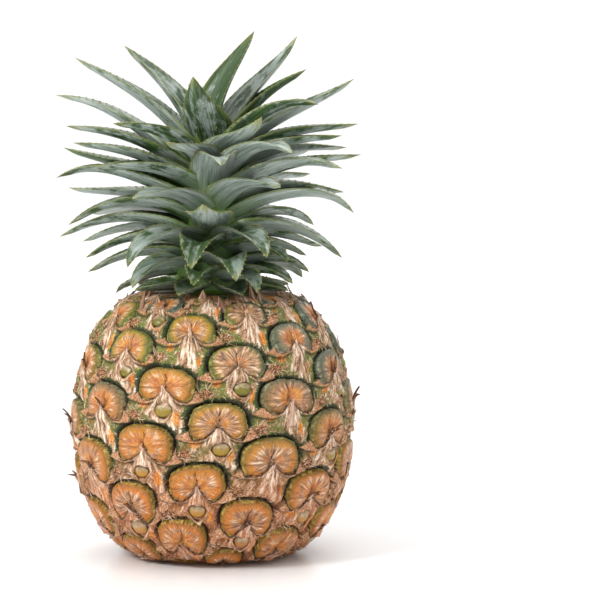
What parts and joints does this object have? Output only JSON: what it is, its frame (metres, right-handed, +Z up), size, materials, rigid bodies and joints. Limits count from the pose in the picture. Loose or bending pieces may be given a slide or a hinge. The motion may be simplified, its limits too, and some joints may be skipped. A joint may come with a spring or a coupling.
{
  "type": "pineapple",
  "caption": "Whole ripe pineapple standing on its flat base: a rounded body of raised eyes with pointed bracts, under a dense crown of stiff leaves.",
  "frame": {"origin": "middle of the cut stalk end, level with the flat base that the fruit stands on", "axes": "+Z up along the fruit's axis to the crown, -Y towards the side that the picture shows, +X to the right in it"},
  "size_m": [0.1296, 0.1216, 0.2217],
  "materials": {
    "fruit_rind": "waxy, ridged rind with dry papery bract tips",
    "crown_leaf": "stiff green leaf with a pale waxy bloom",
    "cut_stalk": "dry cut fibres"
  },
  "bodies": {
    "root": {"fruit": "fruit_rind", "crown": "crown_leaf", "stalk_stub": "cut_stalk"}
  },
  "joints": []
}
